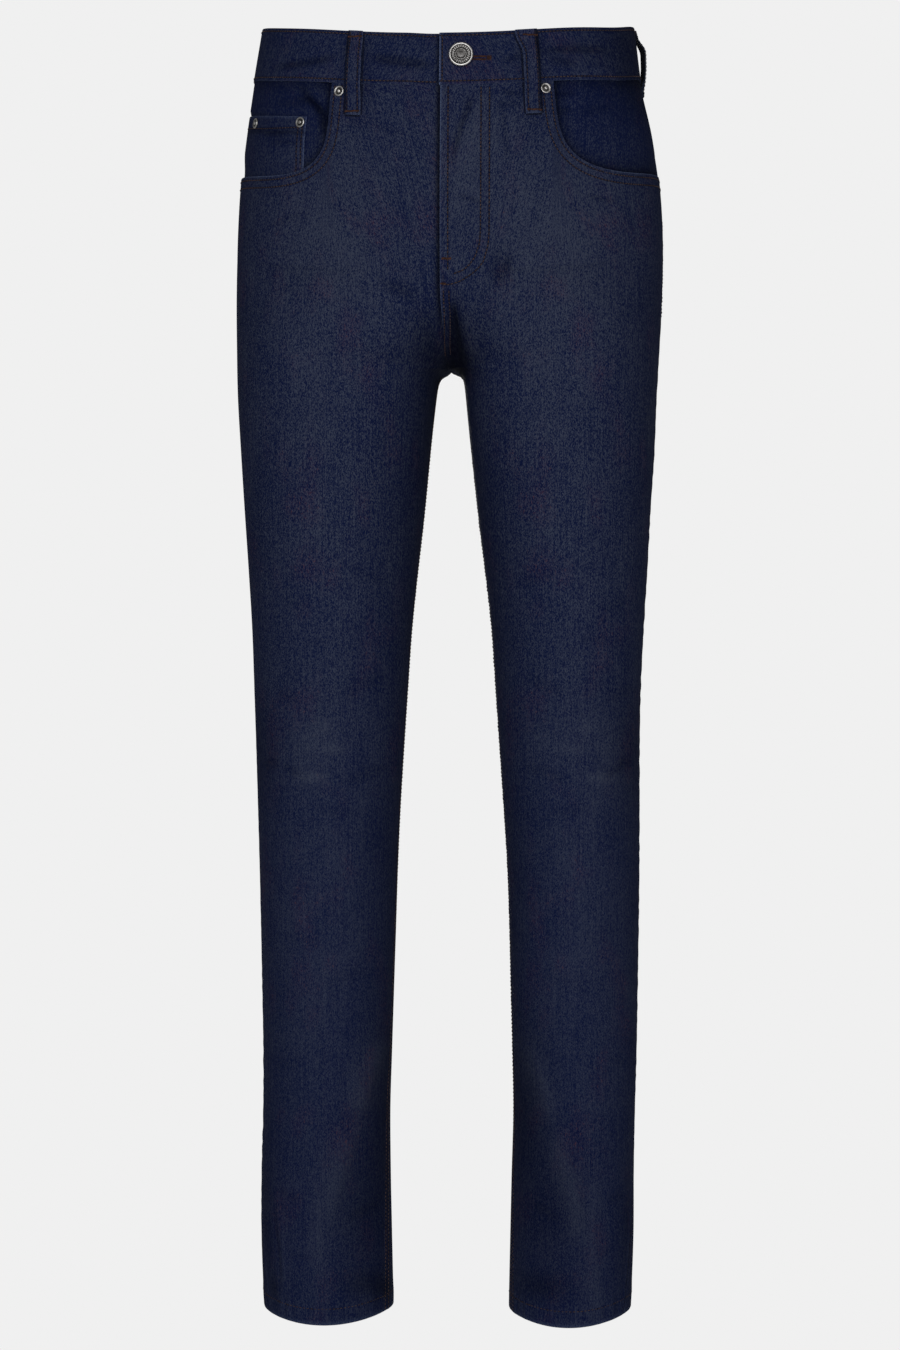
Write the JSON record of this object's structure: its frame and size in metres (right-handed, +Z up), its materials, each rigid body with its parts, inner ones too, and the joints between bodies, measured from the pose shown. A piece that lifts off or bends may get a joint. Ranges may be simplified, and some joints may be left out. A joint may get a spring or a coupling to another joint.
{
  "type": "jeans",
  "caption": "Slim straight-leg denim jeans filled out as worn, with a buttoned waistband, belt loops, lapped fly, curved front pockets, seat pockets and open hollow legs.",
  "frame": {"origin": "centre of the ring of the waist at the height of its sides, where the wearer holds the garment up", "axes": "+Z up along the legs, front toward -Y, +X toward the wearer's left"},
  "size_m": [0.3479, 0.252, 1.0627],
  "materials": {
    "indigo_denim": "matte right-hand twill with slubs",
    "band_denim": "matte twill, doubled",
    "pocket_denim": "matte twill, unworn",
    "antique_nickel": "aged nickel, dark in its hollows"
  },
  "bodies": {
    "root": {"back_left": "indigo_denim", "back_pocket_left": "indigo_denim", "back_pocket_right": "indigo_denim", "back_right": "indigo_denim", "belt_loop_back": "indigo_denim", "belt_loop_front_left": "indigo_denim", "belt_loop_front_right": "indigo_denim", "belt_loop_side_left": "indigo_denim", "belt_loop_side_right": "indigo_denim", "coin_pocket": "pocket_denim", "fly_shield": "band_denim", "front_left": "indigo_denim", "front_right": "indigo_denim", "pocket_facing_left": "pocket_denim", "pocket_facing_right": "pocket_denim", "rivet_coin_inner": "antique_nickel", "rivet_coin_outer": "antique_nickel", "rivet_pocket_left": "antique_nickel", "rivet_pocket_right": "antique_nickel", "waist_button": "antique_nickel", "waistband": "band_denim", "yoke_left": "indigo_denim", "yoke_right": "indigo_denim"}
  },
  "joints": []
}
